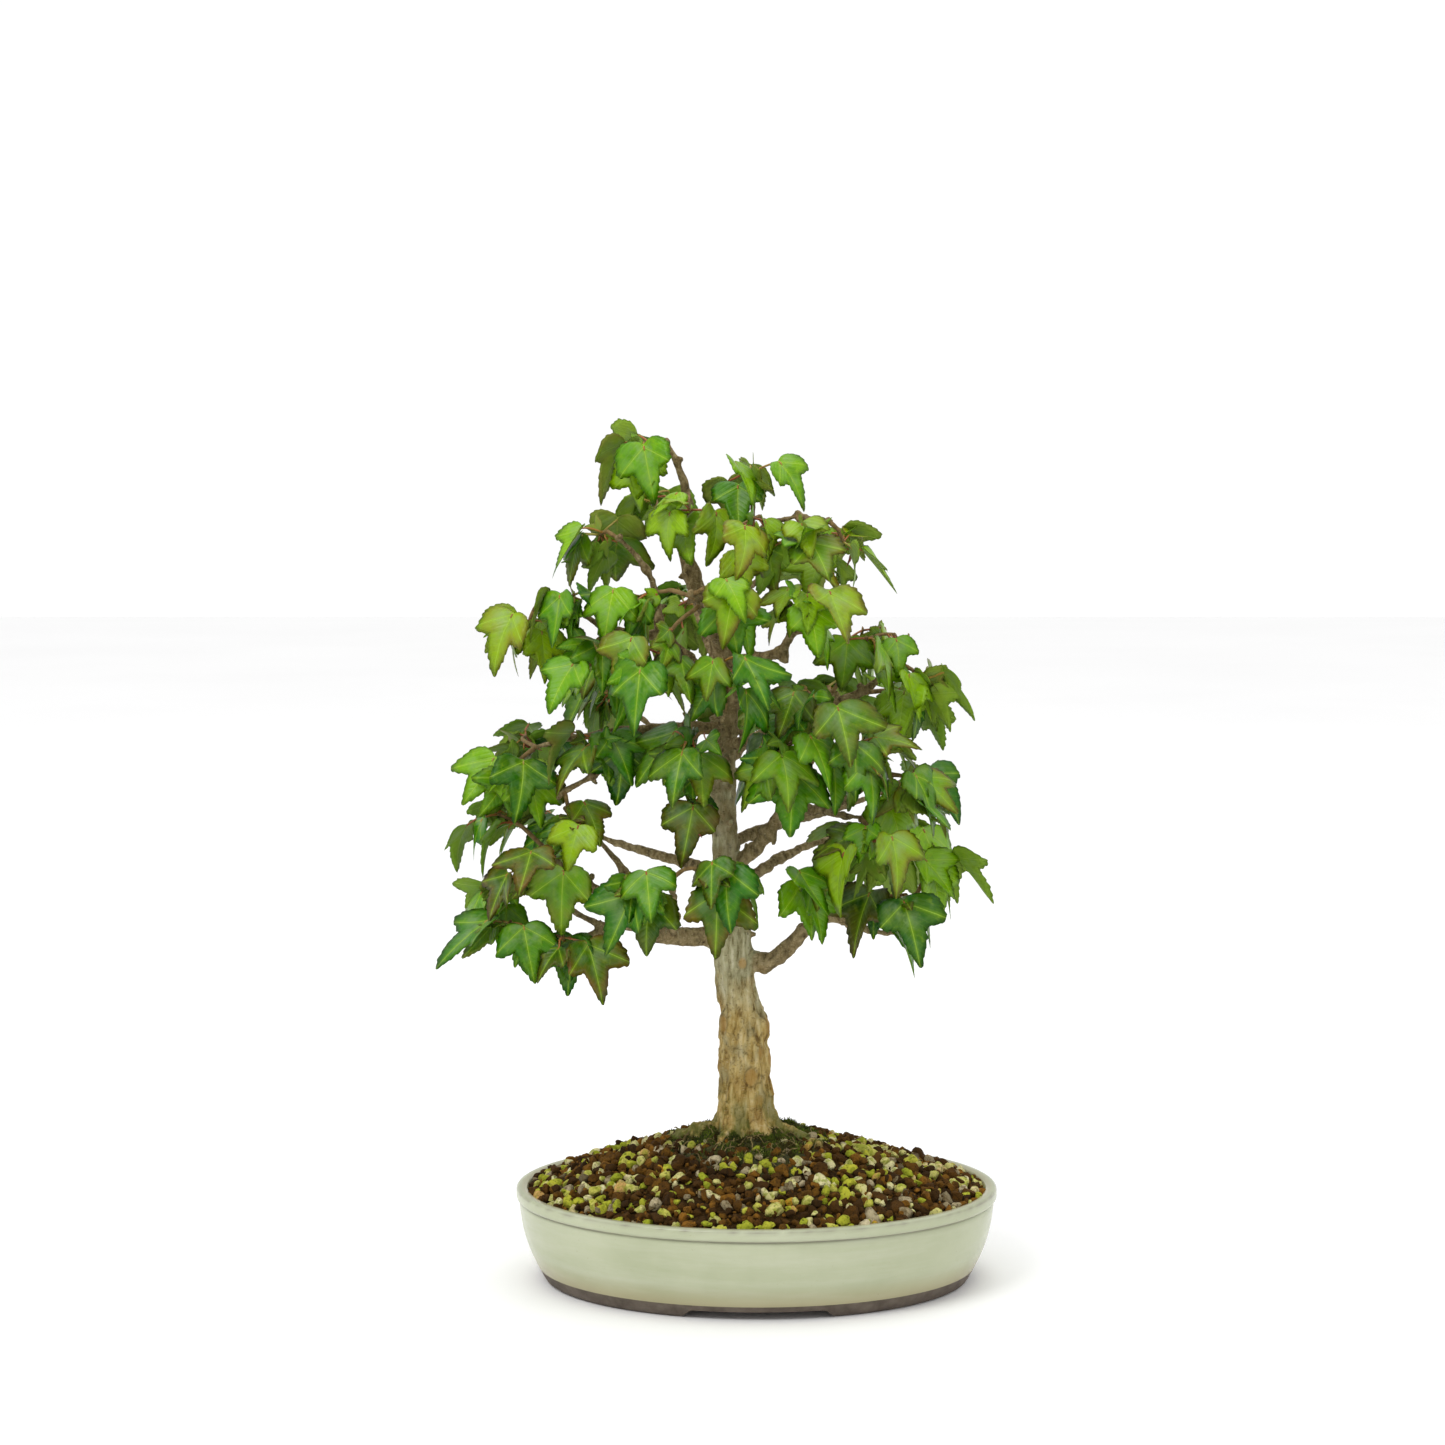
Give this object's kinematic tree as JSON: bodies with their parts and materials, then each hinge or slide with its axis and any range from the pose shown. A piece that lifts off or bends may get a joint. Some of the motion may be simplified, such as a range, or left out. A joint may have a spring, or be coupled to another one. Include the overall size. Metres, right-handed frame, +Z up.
{
  "type": "potted bonsai tree",
  "caption": "Informal upright trident maple bonsai with leafy shoots, rooted in a mound of granular soil in a shallow oval glazed pot.",
  "frame": {"origin": "on the ground, under the centre of the whole object's bounding box", "axes": "+Z up; -Y is the front, the side the tree is shown from; +X is to the right of someone looking at the front, along the pot's length"},
  "size_m": [0.2924, 0.2252, 0.4378],
  "materials": {
    "glazed_stoneware": "gloss",
    "screen_plastic": "matte",
    "clip_wire": "satin",
    "granular_soil": "matte",
    "maple_wood": "matte",
    "moss": "matte",
    "maple_leaf": "satin"
  },
  "bodies": {
    "root": {"pot": "glazed_stoneware", "drain_screen_left": "screen_plastic", "screen_clip_left": "clip_wire", "drain_screen_right": "screen_plastic", "screen_clip_right": "clip_wire", "soil_bed": "granular_soil", "trunk_and_limbs": "maple_wood", "moss_front": "moss", "moss_right": "moss", "shoot_apex_left": "maple_leaf", "shoot_apex_right": "maple_leaf", "shoot_top_middle": "maple_leaf", "shoot_top_left": "maple_leaf", "shoot_top_front": "maple_leaf", "shoot_top_right": "maple_leaf", "shoot_top_far_right": "maple_leaf", "shoot_upper_left": "maple_leaf", "shoot_upper_left_front": "maple_leaf", "shoot_upper_middle": "maple_leaf", "shoot_upper_right": "maple_leaf", "shoot_upper_far_left": "maple_leaf", "shoot_left_front": "maple_leaf", "shoot_middle_left": "maple_leaf", "shoot_middle_front": "maple_leaf", "shoot_right_upper": "maple_leaf", "shoot_right_far": "maple_leaf", "shoot_right_front": "maple_leaf", "shoot_middle_low": "maple_leaf", "shoot_middle_right": "maple_leaf", "shoot_right_middle": "maple_leaf", "shoot_left_middle": "maple_leaf", "shoot_right_low_out": "maple_leaf", "shoot_left_out": "maple_leaf", "shoot_left_low": "maple_leaf", "shoot_left_far": "maple_leaf", "shoot_left_under": "maple_leaf", "shoot_left_low_far": "maple_leaf", "shoot_left_lowest": "maple_leaf", "shoot_left_lowest_front": "maple_leaf", "shoot_low_front_left": "maple_leaf", "shoot_low_front": "maple_leaf", "shoot_low_leaf": "maple_leaf", "shoot_low_right_front": "maple_leaf", "shoot_low_right_inner": "maple_leaf", "shoot_low_right_far": "maple_leaf", "shoot_low_right_out": "maple_leaf", "shoot_back_low": "maple_leaf", "shoot_back_low_left": "maple_leaf", "shoot_back_right": "maple_leaf", "shoot_back_middle_left": "maple_leaf", "shoot_back_middle": "maple_leaf", "shoot_back_centre": "maple_leaf", "shoot_back_upper": "maple_leaf", "shoot_back_upper_left": "maple_leaf", "shoot_back_upper_right": "maple_leaf", "shoot_back_top": "maple_leaf", "shoot_back_far_right": "maple_leaf", "shoot_back_far_left": "maple_leaf", "shoot_back_right_upper": "maple_leaf", "shoot_back_low_right": "maple_leaf"}
  },
  "joints": []
}
